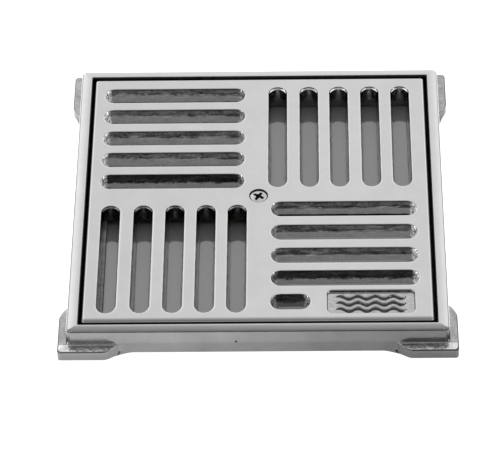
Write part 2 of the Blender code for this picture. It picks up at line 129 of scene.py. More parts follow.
# The middle, the way its slots run, and how many mm the casting has each slot off the even spacing.
BLOCKS = {
    "back_left": ((-35.6 * MM, 34.0 * MM), "across", (0.1, 0.3, 0.25, 0.45, 0.55)),
    "back_right": ((33.6 * MM, 34.8 * MM), "along", (0.0, 0.2, -0.15, 0.05, -0.1)),
    "front_left": ((-34.6 * MM, -34.9 * MM), "along", (0.05, 0.5, 0.55, 0.37, 0.15)),
    "front_right": ((34.8 * MM, -33.8 * MM), "across", (0.4, 0.1, 0.1, 0.45, 0.55)),
}
CARTOUCHE_CENTRE = (44.9 * MM, -59.2 * MM)
CARTOUCHE_SIZE = (34.4 * MM, 11.8 * MM)
CARTOUCHE_DEPTH = 1.2 * MM
CARTOUCHE_CORNER = 1.8 * MM
CARTOUCHE_ROUND = 0.7 * MM
CARTOUCHE_POLISHED = 4
RIPPLES = 3
RIPPLE_PITCH = 3.3 * MM
RIPPLE_LENGTH = 28.0 * MM
RIPPLE_HEIGHT = 1.1 * MM
RIPPLE_SWING = 0.75 * MM
RIPPLE_WAVES = 4
RIPPLE_STEPS = 96

# Screw
SCREW_RADIUS = 2.0 * MM
SEAT_RADIUS = 3.77 * MM
SEAT_STRAIGHT = 0.78 * MM
HOLE_RADIUS = SCREW_RADIUS + GAP
POCKET_RADIUS = 4.6 * MM
POCKET_TOP = 8.3 * MM
HEAD_RADIUS = SCREW_HIGH.x
HEAD_CROWN = 0.35 * MM
HEAD_RIM = 0.3 * MM
THREAD_PITCH = 0.7 * MM
THREAD_DEPTH = 0.38 * MM
CROSS_TURN = 58.0  # degrees that the cross recess is turned
BLADE_HALF = (2.5 * MM, 0.57 * MM)  # half the length and width of each of its two blades

# Bridge
BAR_CORNER = 2.0 * MM
BUSH_RADIUS = 3.1 * MM
BUSH_FLANGE_RADIUS = BUSH_HIGH.x
RIVET_SPOT = (RIVET_LOW.x + RIVET_HIGH.x) / 2
RIVET_RADIUS = 1.5 * MM
RIVET_HEAD_RADIUS = (RIVET_HIGH.x - RIVET_LOW.x) / 2
RIVET_TAIL_RADIUS = 2.2 * MM

# ---------------------------------------- mesh helpers


def new_object(name, data):
    obj = bpy.data.objects.new(name, data)
    bpy.context.scene.collection.objects.link(obj)
    return obj


def coat(obj, *materials):
    for material in materials:
        obj.data.materials.append(material)
    return obj


def move(obj, x, y, z=0.0):
    obj.data.transform(Matrix.Translation((x, y, z)))
    return obj


def mesh_of(bm, name):
    bmesh.ops.remove_doubles(bm, verts=bm.verts, dist=TINY)
    mesh = bpy.data.meshes.new(name)
    bm.to_mesh(mesh)
    bm.free()
    return mesh


def loft(name, rings, closed=False, material_of=None):
    """A solid through rings of points, each anticlockwise, from the top down its outer side. closed joins
    the last ring to the first, as round a frame. material_of gives each band's material from its number."""
    bm = bmesh.new()
    loops = [[bm.verts.new(point) for point in ring] for ring in rings]
    count = len(loops[0])
    pairs = list(zip(loops, loops[1:]))
    if closed:
        pairs.append((loops[-1], loops[0]))
    for band, (upper, lower) in enumerate(pairs):
        for i in range(count):
            j = (i + 1) % count
            face = bm.faces.new((upper[i], lower[i], lower[j], upper[j]))
            if material_of:
                face.material_index = material_of(band)
    if not closed:
        caps = (bm.faces.new(loops[0]), bm.faces.new(reversed(loops[-1])))
        if material_of:
            caps[0].material_index = material_of(0)
            caps[1].material_index = material_of(len(pairs) - 1)
    return new_object(name, mesh_of(bm, name))


def arc(centre, radius, start, end, steps):
    angles = (math.radians(start + (end - start) * i / steps) for i in range(steps + 1))
    return [(centre[0] + radius * math.cos(a), centre[1] + radius * math.sin(a)) for a in angles]


def rounded_rectangle(half_x, half_y, radius, steps=6):
    """Points round a rectangle with round corners in plan, anticlockwise."""
    x = half_x - radius
    y = half_y - radius
    points = []
    for sign_x, sign_y, start in ((1, -1, -90), (1, 1, 0), (-1, 1, 90), (-1, -1, 180)):
        points += arc((sign_x * x, sign_y * y), radius, start, start + 90, steps)
    return points


def at_height(points, z):
    return [(x, y, z) for x, y in points]


def quarter_round(radius, steps):
    """How far a rounded edge's points lie in from the side and down from the top, from the top down."""
    angles = [math.radians(90 * i / steps) for i in range(steps + 1)]
    return [(radius * (1 - math.sin(a)), radius * (1 - math.cos(a))) for a in angles]


def turned(profile, steps):
    """Rings about Z through the profile's (radius, z) points, which run down the outer side."""
    rings = []
    for radius, z in profile:
        angles = (math.tau * i / steps for i in range(steps))
        rings.append([(radius * math.cos(a), radius * math.sin(a), z) for a in angles])
    return rings


def turned_solid(name, profile, steps=48):
    return loft(name, turned(profile, steps))


def turned_ring(name, profile, steps=48):
    return loft(name, turned(profile, steps), closed=True)


def cut(target, cutter, operation="DIFFERENCE"):
    modifier = target.modifiers.new(operation.lower(), "BOOLEAN")
    modifier.operation = operation
    modifier.solver = "EXACT"
    modifier.material_mode = "TRANSFER"
    modifier.object = cutter
    bpy.context.view_layer.update()
    graph = bpy.context.evaluated_depsgraph_get()
    mesh = bpy.data.meshes.new_from_object(target.evaluated_get(graph))
    target.modifiers.clear()
    target.data = mesh
    bpy.data.objects.remove(cutter)


def smooth(obj, angle=38.0):
    """Smooth shading that keeps flat faces flat beside their rounded edges."""
    obj.data.shade_smooth()
    obj.data.set_sharp_from_angle(angle=math.radians(angle))
    modifier = obj.modifiers.new("flat_faces_stay_flat", "WEIGHTED_NORMAL")
    modifier.keep_sharp = True
    modifier.weight = 100
    return obj


def rough(point, size, seed):
    """Signed lumps of about that size, between -1 and 1."""
    return noise.fractal(Vector(point) / size + Vector((seed, seed, seed)), 0.6, 2.0, 3)


# ---------------------------------------- frame


def foot_stations():
    """Places along half a side, from its middle to its corner, closer together where the feet end."""
    places = [8 * MM * i for i in range(6)]
    start = 44 * MM
    while start < 63 * MM:
        places.append(start)
        start += 0.7 * MM if start < 58 * MM else 1.2 * MM
    return places + [65.5 * MM, 68.5 * MM]


def stations():
    """Places round the frame, as (side, share of the side, angle round the corner)."""
    half = foot_stations()
    flat = WALL - WALL_CORNER
    along = [-p / flat for p in reversed(half[1:])] + [p / flat for p in half]
    spots = []
    for side in range(4):
        spots.append((side, -1.0, 0.0))
        spots += [(side, share, 0.0) for share in along]
        spots += [(side, 1.0, 90.0 * i / 8) for i in range(8)]
    return spots


def turned_point(side, x, y, z):
    for _ in range(side):
        x, y = -y, x
    return Vector((x, y, z))


def ring(half, radius, z, front=None):
    """One level of the frame: a square with round corners, at every station. front is (half, z) there."""
    points = []
    for side, share, angle in stations():
        a = math.radians(angle)
        frontness = {2: angle / 90, 3: 1 - angle / 90}.get(side, 0.0)
        here, height = half, z
        if front:
            here += (front[0] - half) * frontness
            height += (front[1] - z) * frontness
        x = here - radius + radius * math.cos(a)
        y = share * (here - radius) + radius * math.sin(a)
        points.append(turned_point(side, x, y, height))
    return points


def ease(value, start, end):
    share = min(1.0, max(0.0, (value - start) / (end - start)))
    return (1 - math.cos(math.pi * share)) / 2


def foot_reach(share, span, pointed):
    """How far out a foot has come at that share of a side, from 0 to 1."""
    place = abs(share) * (WALL - WALL_CORNER)
    if pointed:
        return ease(place, *span)
    inside = 1 - min(1.0, max(0.0, (place - span[0]) / (span[1] - span[0])))
    return math.sqrt(1 - inside**2.2)


def foot_ring(top_out, base_out, drawn_in, z):
    """One level of the feet, out from the wall by shares of the reach at their top and at their base."""
    wall_ring = ring(WALL, WALL_CORNER, z)
    foot_ring_points = ring(FOOT_OUTER - drawn_in, FOOT_CORNER, z)
    points = []
    for (_, share, _), wall_point, foot_point in zip(stations(), wall_ring, foot_ring_points):
        top = foot_reach(share, FOOT_END, False)
        base = max(top, foot_reach(share, FLARE_END, True))
        wall_point.x *= 1 + WIDER / WALL
        points.append(wall_point.lerp(foot_point, top * top_out + (base - top) * base_out))
    return points


def rim_profile(flat, slope, radius, draft):
    """(half side, height) from the lip, down the rim's gentle fall and round its outer edge to the wall."""
    slope = math.radians(slope)
    outer = WALL - draft
    width = outer - OPENING - flat - radius * (1 - math.sin(slope))
    power = 1.6
    fall = width * math.tan(slope) / power
    profile = [(OPENING + RIM_LIP, RIM_TOP)]
    steps = 9
    for i in range(steps):
        share = i / steps
        profile.append((OPENING + flat + width * share, RIM_TOP - fall * share**power))
    for i in range(steps + 1):
        angle = slope + (math.radians(88) - slope) * i / steps
        drop = fall + radius * (math.cos(slope) - math.cos(angle))
        profile.append((outer - radius * (1 - math.sin(angle)), RIM_TOP - drop))
    return profile


def rim_rings():
    rings = []
    for (half, z), front in zip(rim_profile(*RIM_BEND["side"]), rim_profile(*RIM_BEND["front"])):
        points = ring(half, max(0.5 * MM, half - WALL + WALL_CORNER), z, front)
        stretch = WIDER / WALL * (half - OPENING) / (WALL - OPENING)
        rings.append([Vector((p.x * (1 + stretch), p.y, p.z)) for p in points])
    return rings


def foot_rings():
    """The wall's foot, the feet's fillet, top, round edge and side, and the base."""
    reach = FOOT_OUTER - WALL
    fillet = FOOT_FILLET / reach
    edge = FOOT_EDGE / reach
    rings = []
    for i in range(6):
        a = math.radians(90 * i / 5)
        out = fillet * (1 - math.cos(a))
        rings.append(foot_ring(out, 0.0, 0.0, FOOT_TOP + FOOT_FILLET * (1 - math.sin(a))))
    for i in range(6):
        a = math.radians(90 * i / 5)
        out = 1 - edge * (1 - math.sin(a))
        rings.append(foot_ring(out, 0.0, 0.0, FOOT_TOP - 0.15 * MM - FOOT_EDGE * (1 - math.cos(a))))
    rings.append(foot_ring(1.0, 0.2, 0.0, 2.2 * MM))
    rings.append(foot_ring(1.0, 0.55, 0.0, 1.2 * MM))
    rings.append(foot_ring(1.0, 1.0, 0.0, 0.3 * MM))
    rings.append(foot_ring(1.0, 1.0, 0.3 * MM, 0.0))
    return rings


def inner_rings():
    """The underside, the throat, the ledge and the opening's wall, back up to the lip."""
    levels = (
        (THROAT + 0.3 * MM, 0.0),
        (THROAT, 0.3 * MM),
        (THROAT, LEDGE_TOP - 0.4 * MM),
        (THROAT + 0.12 * MM, LEDGE_TOP - 0.12 * MM),
        (THROAT + 0.4 * MM, LEDGE_TOP),
        (OPENING - 0.5 * MM, LEDGE_TOP),
        (OPENING - 0.15 * MM, LEDGE_TOP + 0.15 * MM),
        (OPENING, LEDGE_TOP + 0.5 * MM),
        (OPENING, RIM_TOP - RIM_LIP),
        (OPENING + 0.1 * MM, RIM_TOP - 0.1 * MM),
    )
    rings = []
    for half, z in levels:
        longer = LEDGE_NARROWER / THROAT if half < OPENING - 1 * MM else 0.0
        rings.append([Vector((p.x, p.y * (1 + longer), p.z)) for p in ring(half, 0.5 * MM, z)])
    return rings


def box_solid(name, half_x, half_y, bottom, top):
    bm = bmesh.new()
    bmesh.ops.create_cube(bm, size=1.0)
    bmesh.ops.scale(bm, vec=(2 * half_x, 2 * half_y, top - bottom), verts=bm.verts)
    bmesh.ops.translate(bm, vec=(0.0, 0.0, (top + bottom) / 2), verts=bm.verts)
    return new_object(name, mesh_of(bm, name))


def rivet_hole_profile():
    mouth = RIVET_TAIL_RADIUS + GAP
    radius = RIVET_RADIUS + GAP
    return [
        (0.0, BAR_LOW.z),
        (radius, BAR_LOW.z),
        (radius, RIVET_LOW.z + mouth - radius),
        (mouth, RIVET_LOW.z),
        (mouth, -OVERCUT),
        (0.0, -OVERCUT),
    ]


def make_frame(polished, walls, tops, cast, ledge):
    rim = rim_rings()
    feet = foot_rings()
    inner = inner_rings()
    # The cast material given here paints the gap's shade near black on the throat's mouth and the opening's
    # wall.
    bands = [0] * (len(rim) - 7)  # the lip, the fall and the upper part of the rim's round edge
    bands += [1] * 10  # the rest of it, the wall, and the upper part of the feet's fillet
    bands += [2] * 3  # the rest of it, and the feet's tops
    bands += [1] * (len(feet) - 6)  # the feet's edges and sides, and the base
    bands += [3] + [4] * 5  # the throat's mouth, then its wall and the ledge
    bands += [3] * (len(inner) - 6)  # the opening's wall, up to the lip
    rings = rim + feet + inner
    frame_piece = loft("frame_casting", rings, closed=True, material_of=lambda band: bands[band])
    coat(frame_piece, polished, walls, tops, cast, ledge)
    for face in frame_piece.data.polygons:
        steep = face.normal.z < 0.3
        sideways = abs(face.normal.y) < 0.5 * abs(face.normal.x)
        if face.material_index == 2 and steep:
            face.material_index = 1
        if face.material_index == 1 and sideways and face.center.z > RIM_TOP - POLISH_DEPTH:
            face.material_index = 0
    cut(frame_piece, move(coat(turned_solid("pit", PIT_PROFILE, 16), cast), *PIT_PLACE))
    rebate = box_solid("rebate", BAR_HIGH.x + GAP, BAR_HIGH.y + GAP, BAR_LOW.z - GAP, LEDGE_TOP + OVERCUT)
    cut(frame_piece, coat(rebate, cast))
    for sign in (-1, 1):
        hole = coat(turned_solid("rivet_hole", rivet_hole_profile()), cast)
        cut(frame_piece, move(hole, sign * RIVET_SPOT, 0.0))
    return smooth(frame_piece)


# ---------------------------------------- grate


def slot_spine(run):
    """Points round a slot as (centre x, outward x, outward y), about a millimetre apart, anticlockwise."""
    straight = max(4, round(run / (1.2 * MM)))
    half = run / 2
    points = []
    for side in (1, -1):
        for i in range(16):
            angle = math.radians(-90 + 180 * i / 16)
            points.append((side * half, side * math.cos(angle), side * math.sin(angle)))
        for i in range(straight):
            points.append((side * (half - run * i / straight), 0.0, float(side)))
    return points


def slot_levels(draft):
    """(growth, height, roughness) down a slot's wall: eased by the polishing on top, as cast below."""
    lip = SLOT_LIP[-1][1]
    levels = [(SLOT_LIP[0][0], GRATE_TOP + OVERCUT, 0.0)]
    for growth, drop in SLOT_LIP:
        levels.append((growth, GRATE_TOP - drop, drop / lip * LIP_ROUGHNESS))
    wall = GRATE_TOP - lip - GRATE_BOTTOM
    steps = 9
    for i in range(1, steps + 1):
        share = i / steps
        levels.append((-draft * share, GRATE_TOP - lip - wall * share, 1.0))
    levels.append((-draft, GRATE_BOTTOM - OVERCUT, 1.0))
    return levels


def slot_solid(run, middle, way, seed):
    """The hole a slot leaves. The slots that run across keep a coarser skin than the ones that run along."""
    levels = slot_levels(SLOT_DRAFT[way])
    rings = []
    for growth, z, bumps in levels:
        ring = []
        for centre, out_x, out_y in slot_spine(run):
            backward = max(0.0, out_x if way == "along" else out_y)
            radius = SLOT_WIDTH[way] / 2 + growth * (1 - (1 - BACK_END_SHARE) * backward)
            point = Vector((centre + radius * out_x, radius * out_y, z))
            lump = sum(rough(point, size, seed) * height for size, height in LUMPS)
            point.xy += Vector((out_x, out_y)) * lump * bumps
            ring.append(point)
        rings.append(ring)
    skin, start = SLOT_SKIN[way]
    solid = loft("slot", rings, material_of=lambda band: 0 if band < start else skin)
    if way == "along":
        solid.data.transform(Matrix.Rotation(math.pi / 2, 4, "Z"))
    return move(solid, *middle)


def slot_places():
    """Each slot's (run, middle, way it runs) on the grate."""
    places = []
    for name, ((x, y), way, nudges) in BLOCKS.items():
        for i, nudge in enumerate(nudges):
            step = (i - (SLOTS_IN_BLOCK - 1) / 2) * SLOT_PITCH
            run = SLOT_RUN[way]
            middle = (x + step + nudge * MM, y) if way == "along" else (x, y - step + nudge * MM)
            if name == "front_right" and i == SLOTS_IN_BLOCK - 1:
                run = SHORT_SLOT_RUN
                middle = (x - (BLOCK_RUN - run) / 2, middle[1])
            places.append((run, middle, way))
    return places


def join(name, pieces):
    bm = bmesh.new()
    materials = pieces[0].data.materials[:]
    for piece in pieces:
        bm.from_mesh(piece.data)
        bpy.data.objects.remove(piece)
    return coat(new_object(name, mesh_of(bm, name)), *materials)


def cartouche_solid():
    levels = [(CARTOUCHE_ROUND, GRATE_TOP + OVERCUT)]
    for inset, drop in quarter_round(CARTOUCHE_ROUND, 6)[:-1]:
        levels.append((inset, GRATE_TOP - drop))
    floor = GRATE_TOP - CARTOUCHE_DEPTH
    levels += [(-0.05 * MM, floor + 0.3 * MM), (-0.15 * MM, floor + 0.1 * MM), (-0.4 * MM, floor)]
    rings = []
    for grow, z in levels:
        half_x, half_y = (side / 2 + grow for side in CARTOUCHE_SIZE)
        rings.append(at_height(rounded_rectangle(half_x, half_y, CARTOUCHE_CORNER + grow, 8), z))
    solid = loft("cartouche", rings, material_of=lambda band: 0 if band < CARTOUCHE_POLISHED else 1)
    return move(solid, *CARTOUCHE_CENTRE)


def ripple_solid(row):
    """One raised ripple in the cartouche: a bar with a round top along a sine line, its ends tapered."""
    floor = GRATE_TOP - CARTOUCHE_DEPTH
    middle = (row - (RIPPLES - 1) / 2) * RIPPLE_PITCH
    section = [(-0.85, -0.3), (-0.8, 0.1), (-0.68, 0.55), (-0.45, 0.85), (-0.15, 1.0)]
    section += [(-out, up) for out, up in reversed(section)]
    rings = []
    for i in range(RIPPLE_STEPS + 1):
        share = i / RIPPLE_STEPS
        x = (share - 0.5) * RIPPLE_LENGTH
        y = middle + RIPPLE_SWING * math.sin(math.tau * RIPPLE_WAVES * share)
        taper = max(0.12, min(1.0, 10 * share, 10 * (1 - share)) ** 0.5)
        rings.append([(x, y + out * MM * taper, floor + up * RIPPLE_HEIGHT * taper) for out, up in section])
    bar = loft("ripple", rings)
    bm = bmesh.new()
    bm.from_mesh(bar.data)
    bmesh.ops.recalc_face_normals(bm, faces=bm.faces)
    bm.to_mesh(bar.data)
    bm.free()
    return move(bar, *CARTOUCHE_CENTRE)


def seat_profile():
    depth = SEAT_STRAIGHT + SEAT_RADIUS - HOLE_RADIUS
    return [
        (0.0, GRATE_TOP + OVERCUT),
        (SEAT_RADIUS + 0.12 * MM, GRATE_TOP + OVERCUT),
        (SEAT_RADIUS + 0.12 * MM, GRATE_TOP),
        (SEAT_RADIUS + 0.03 * MM, GRATE_TOP - 0.05 * MM),
        (SEAT_RADIUS, GRATE_TOP - 0.15 * MM),
        (SEAT_RADIUS, GRATE_TOP - SEAT_STRAIGHT),
        (HOLE_RADIUS, GRATE_TOP - depth),
        (HOLE_RADIUS, POCKET_TOP),
        (POCKET_RADIUS, POCKET_TOP),
        (POCKET_RADIUS, GRATE_BOTTOM - OVERCUT),
        (0.0, GRATE_BOTTOM - OVERCUT),
    ]


def grate_ring(inset, z):
    """One level of the plate's edge. The front edge's fillet is wider than the others."""
    front = inset * FRONT_EDGE
    radius = max(0.2 * MM, GRATE_CORNER - inset * 0.5)
    low, high = GRATE_FRONT + front, GRATE_BACK - inset
    outline = rounded_rectangle(GRATE_HALF - inset, (high - low) / 2, radius, 8)
    shift = (high + low) / 2
    return [(x, y + shift, z) for x, y in outline]


def grate_body():
    rings = [grate_ring(inset, GRATE_TOP - drop) for inset, drop in quarter_round(GRATE_EDGE, 10)]
    rings.append(grate_ring(0.0, GRATE_BOTTOM + 0.3 * MM))
    rings.append(grate_ring(0.3 * MM, GRATE_BOTTOM))
    return loft("grate_casting", rings, material_of=lambda band: 0 if band < GRATE_POLISHED else 1)


def make_grate(polished, hidden, cast, smooth_cast, satin):
    # hidden paints the gaps' shade near black on the plate's lower edge and underside and in the screw's
    # seat.
    grate = coat(grate_body(), polished, hidden)
    slots = []
    for number, (run, middle, way) in enumerate(slot_places()):
        slot = slot_solid(run, middle, way, LUMP_STEP * number)
        slots.append(coat(slot, polished, cast, smooth_cast))
    cut(grate, join("slots", slots))
    cut(grate, coat(turned_solid("seat", seat_profile(), 64), hidden))
    cut(grate, coat(cartouche_solid(), polished, satin))
    for row in range(RIPPLES):
        cut(grate, coat(ripple_solid(row), satin), "UNION")
    return smooth(grate)


# ---------------------------------------- screw, washer and bridge


def thread_solid(top, bottom):
    """A threaded shank: its radius follows the thread's ridge as it climbs."""
    steps = 40
    per_turn = 10
    rows = round((top - bottom) / THREAD_PITCH * per_turn)
    rings = []
    for row in range(rows + 1):
        z = top - (top - bottom) * row / rows
        fade = min(1.0, (z - bottom) / (0.6 * MM))
        ring = []
        for i in range(steps):
            share = i / steps
            phase = ((z / THREAD_PITCH) - share) % 1.0
            ridge = abs(2 * phase - 1)
            radius = SCREW_RADIUS - THREAD_DEPTH * min(1.0, 1.15 * ridge)
            radius = min(radius, SCREW_RADIUS - 0.55 * MM * (1 - fade))
            ring.append((radius * math.cos(math.tau * share), radius * math.sin(math.tau * share), z))
        rings.append(ring)
    return loft("thread", rings)


def make_screw(steel, shade):
    top = SCREW_HIGH.z
    rim = top - HEAD_CROWN
    crown = [(HEAD_RADIUS * s, rim + HEAD_CROWN * (1 - s**2)) for s in (0.2, 0.4, 0.6, 0.8, 0.92)]
    under_head = rim - HEAD_RIM - (HEAD_RADIUS - SCREW_RADIUS)
    neck = under_head - 0.8 * MM
    profile = [
        (AXIS_RADIUS, top),
        *crown,
        (HEAD_RADIUS - 0.06 * MM, rim + 0.01 * MM),
        (HEAD_RADIUS, rim - 0.06 * MM),
        (HEAD_RADIUS, rim - HEAD_RIM),
        (SCREW_RADIUS - 0.05 * MM, under_head),
        (SCREW_RADIUS - 0.05 * MM, neck),
        (SCREW_RADIUS - THREAD_DEPTH - 0.1 * MM, neck - 0.2 * MM),
        (AXIS_RADIUS, neck - 0.2 * MM),
    ]
    screw = coat(turned_solid("machine_screw", profile, 64), steel)
    for turn in (CROSS_TURN, CROSS_TURN + 90.0):
        blade = coat(cross_blade(top), shade)
        blade.data.transform(Matrix.Rotation(math.radians(turn), 4, "Z"))
        cut(screw, blade)
    core_profile = [
        (AXIS_RADIUS, top + OVERCUT),
        (1.15 * MM, top + OVERCUT),
        (1.15 * MM, top - 0.3 * MM),
        (0.25 * MM, top - 2.1 * MM),
        (AXIS_RADIUS, top - 2.1 * MM),
    ]
    cut(screw, coat(turned_solid("core", core_profile, 24), shade))
    cut(screw, coat(thread_solid(neck, SCREW_LOW.z), steel), "UNION")
    return smooth(screw, 32)


def cross_blade(top):
    """A tapering blade of the cross recess, its ends round in plan."""
    levels = (
        (1.0, 1.15, top + OVERCUT),
        (1.0, 1.15, top - 0.05 * MM),
        (0.92, 1.0, top - 0.3 * MM),
        (0.4, 0.7, top - 1.7 * MM),
    )
    rings = []
    for long, wide, z in levels:
        half_x = BLADE_HALF[0] * long
        half_y = BLADE_HALF[1] * wide
        rings.append(at_height(rounded_rectangle(half_x, half_y, half_y * 0.7, 5), z))
    return loft("blade", rings)


def make_washer(nylon):
    edge = 0.1 * MM
    radius = WASHER_HIGH.x
    top, bottom = WASHER_HIGH.z, WASHER_LOW.z
    profile = [
        (HOLE_RADIUS + edge, top),
        (radius - edge, top),
        (radius, top - edge),
        (radius, bottom + edge),
        (radius - edge, bottom),
        (HOLE_RADIUS + edge, bottom),
        (HOLE_RADIUS, bottom + edge),
        (HOLE_RADIUS, top - edge),
    ]
    return smooth(coat(turned_ring("push_on_washer", profile, 64), nylon), 50)


def make_bar(brass):
    edge = 0.2 * MM
    top, bottom = BAR_HIGH.z, BAR_LOW.z
    levels = (
        (edge, top),
        (edge * 0.3, top - edge * 0.3),
        (0.0, top - edge),
        (0.0, bottom + edge),
        (edge * 0.3, bottom + edge * 0.3),
        (edge, bottom),
    )
    rings = []
    for inset, z in levels:
        outline = rounded_rectangle(BAR_HIGH.x - inset, BAR_HIGH.y - inset, BAR_CORNER - inset, 8)
        rings.append(at_height(outline, z))
    bar = coat(loft("brass_bridge", rings), brass)
    radius = BUSH_RADIUS + GAP
    profile = [
        (AXIS_RADIUS, top + OVERCUT),
        (radius, top + OVERCUT),
        (radius, bottom - OVERCUT),
        (AXIS_RADIUS, bottom - OVERCUT),
    ]
    cut(bar, turned_solid("bush_hole", profile))
    mouth = RIVET_HEAD_RADIUS + GAP
    radius = RIVET_RADIUS + GAP
    profile = [
        (AXIS_RADIUS, top + OVERCUT),
        (mouth, top + OVERCUT),
        (mouth, top),
        (radius, top - mouth + radius),
        (radius, bottom - OVERCUT),
        (AXIS_RADIUS, bottom - OVERCUT),
    ]
    for sign in (-1, 1):
        cut(bar, move(turned_solid("rivet_hole", profile), sign * RIVET_SPOT, 0.0))
    return smooth(bar)


def make_bush(brass):
    edge = 0.15 * MM
    flange_top = BAR_LOW.z - GAP
    top, bottom = BUSH_HIGH.z, BUSH_LOW.z
    profile = [
        (HOLE_RADIUS + edge, top),
        (BUSH_RADIUS - edge, top),
        (BUSH_RADIUS, top - edge),
        (BUSH_RADIUS, flange_top),
        (BUSH_FLANGE_RADIUS - edge, flange_top),
        (BUSH_FLANGE_RADIUS, flange_top - edge),
        (BUSH_FLANGE_RADIUS, bottom + edge),
        (BUSH_FLANGE_RADIUS - edge, bottom),
        (HOLE_RADIUS + edge, bottom),
        (HOLE_RADIUS, bottom + edge),
        (HOLE_RADIUS, top - edge),
    ]
    return smooth(coat(turned_ring("brass_bush", profile, 64), brass), 40)


def make_rivet(name, sign, brass):
    head = RIVET_HEAD_RADIUS - RIVET_RADIUS
    tail = RIVET_TAIL_RADIUS - RIVET_RADIUS
    edge = 0.1 * MM
    top, bottom = RIVET_HIGH.z, RIVET_LOW.z
    profile = [
        (AXIS_RADIUS, top),
        (RIVET_HEAD_RADIUS - edge, top),
        (RIVET_HEAD_RADIUS, top - edge),
        (RIVET_RADIUS, top - head),
        (RIVET_RADIUS, bottom + tail),
        (RIVET_TAIL_RADIUS, bottom + edge),
        (RIVET_TAIL_RADIUS - edge, bottom),
        (AXIS_RADIUS, bottom),
    ]
    rivet = coat(turned_solid(name, profile), brass)
    return smooth(move(rivet, sign * RIVET_SPOT, 0.0), 40)


# ---------------------------------------- materials


class Tree:
    """Short calls for building a node tree."""

    def __init__(self, tree):
        self.tree = tree

    def link(self, source, target):
        self.tree.links.new(source, target)

    def math(self, operation, *values):
        node = self.tree.nodes.new("ShaderNodeMath")
        node.operation = operation
        for socket, value in zip(node.inputs, values):
            if isinstance(value, (int, float)):
                socket.default_value = value
            else:
                self.link(value, socket)
        return node.outputs["Value"]

    def split(self, vector):
        node = self.tree.nodes.new("ShaderNodeSeparateXYZ")
        self.link(vector, node.inputs["Vector"])
        return node.outputs


class Nodes(Tree):
    """The same for a material."""

    def __init__(self, name, metallic=1.0):
        self.material = bpy.data.materials.new(name)
        self.material.use_nodes = True
        super().__init__(self.material.node_tree)
        self.shader = self.tree.nodes["Principled BSDF"]
        self.shader.inputs["Metallic"].default_value = metallic
        coordinates = self.tree.nodes.new("ShaderNodeTexCoord")
        self.place = coordinates.outputs["Object"]
        self.facing = coordinates.outputs["Normal"]

    def noise(self, size, detail=4.0, roughness=0.5, stretch=(1, 1, 1), distortion=0.0):
        mapping = self.tree.nodes.new("ShaderNodeMapping")
        mapping.inputs["Scale"].default_value = tuple(1 / (size * s) for s in stretch)
        self.link(self.place, mapping.inputs["Vector"])
        texture = self.tree.nodes.new("ShaderNodeTexNoise")
        texture.inputs["Scale"].default_value = 1.0
        texture.inputs["Detail"].default_value = detail
        texture.inputs["Roughness"].default_value = roughness
        texture.inputs["Distortion"].default_value = distortion
        self.link(mapping.outputs["Vector"], texture.inputs["Vector"])
        return texture.outputs["Fac"]

    def remap(self, value, low, high, to_low, to_high):
        node = self.tree.nodes.new("ShaderNodeMapRange")
        node.inputs["From Min"].default_value = low
        node.inputs["From Max"].default_value = high
        node.inputs["To Min"].default_value = to_low
        node.inputs["To Max"].default_value = to_high
        self.link(value, node.inputs["Value"])
        return node.outputs["Result"]

    def times(self, first, *others):
        for other in others:
            first = self.math("MULTIPLY", first, other)
        return first

    def plus(self, first, *others):
        for other in others:
            first = self.math("ADD", first, other)
        return first

    def minus(self, first, second):
        return self.math("SUBTRACT", first, second)

    def size(self, value):
        """The value without its sign."""
        return self.math("ABSOLUTE", value)

    def near(self, value, middle, full, none):
        """1 up to full away from that middle, fading to 0 at none away."""
        return self.remap(self.size(self.minus(value, middle)), full, none, 1.0, 0.0)

    def row(self, along, middle):
        """0.15 across the slot at that place along the grate and 1 away from it."""
        return self.remap(self.size(self.minus(along, middle)), 5 * MM, 6 * MM, 0.15, 1.0)

    def mix(self, factor, first, second):
        node = self.tree.nodes.new("ShaderNodeMix")
        node.data_type = "RGBA"
        self.link(factor, node.inputs["Factor"])
        for socket, value in ((node.inputs["A"], first), (node.inputs["B"], second)):
            socket.default_value = (*value, 1.0)
        return node.outputs["Result"]

    def grey(self, value):
        return self.mix(value, (0.0, 0.0, 0.0), (1.0, 1.0, 1.0))

    def bump(self, height, distance, normal=None):
        node = self.tree.nodes.new("ShaderNodeBump")
        node.inputs["Distance"].default_value = distance
        node.inputs["Strength"].default_value = 1.0
        self.link(height, node.inputs["Height"])
        if normal:
            self.link(normal, node.inputs["Normal"])
        return node.outputs["Normal"]

    def glow(self, strength):
        self.link(strength, self.shader.inputs["Emission Strength"])
        self.shader.inputs["Emission Color"].default_value = (1.0, 1.0, 1.0, 1.0)

    def skin(self, colour, roughness, normal):
        """The material, with these three linked to its shader."""
        for name, source in (("Base Color", colour), ("Roughness", roughness), ("Normal", normal)):
            self.link(source, self.shader.inputs[name])
        return self.material


def polished_chrome():
    """Chrome over a buffed casting: nearly a mirror, with slow ripples, fine scratches and faint haze."""
    m = Nodes("polished_chrome")
    haze = m.noise(9 * MM, 5.0, 0.6)
    tint = m.mix(m.remap(haze, 0.35, 0.65, 0.0, 1.0), (0.66, 0.66, 0.665), (0.69, 0.69, 0.69))
    scratches = m.noise(0.12 * MM, 2.0, 0.5, (30, 1, 1))
    crossing = m.noise(0.12 * MM, 2.0, 0.5, (1, 30, 1))
    gloss = m.plus(m.remap(haze, 0.3, 0.7, 0.04, 0.08), m.remap(scratches, 0.6, 0.8, 0.0, 0.03))
    ripple = m.bump(m.noise(14 * MM, 2.0, 0.4), 0.03 * MM)
    hair = m.bump(m.plus(scratches, crossing), 0.0006 * MM, ripple)
    return m.skin(tint, gloss, hair)


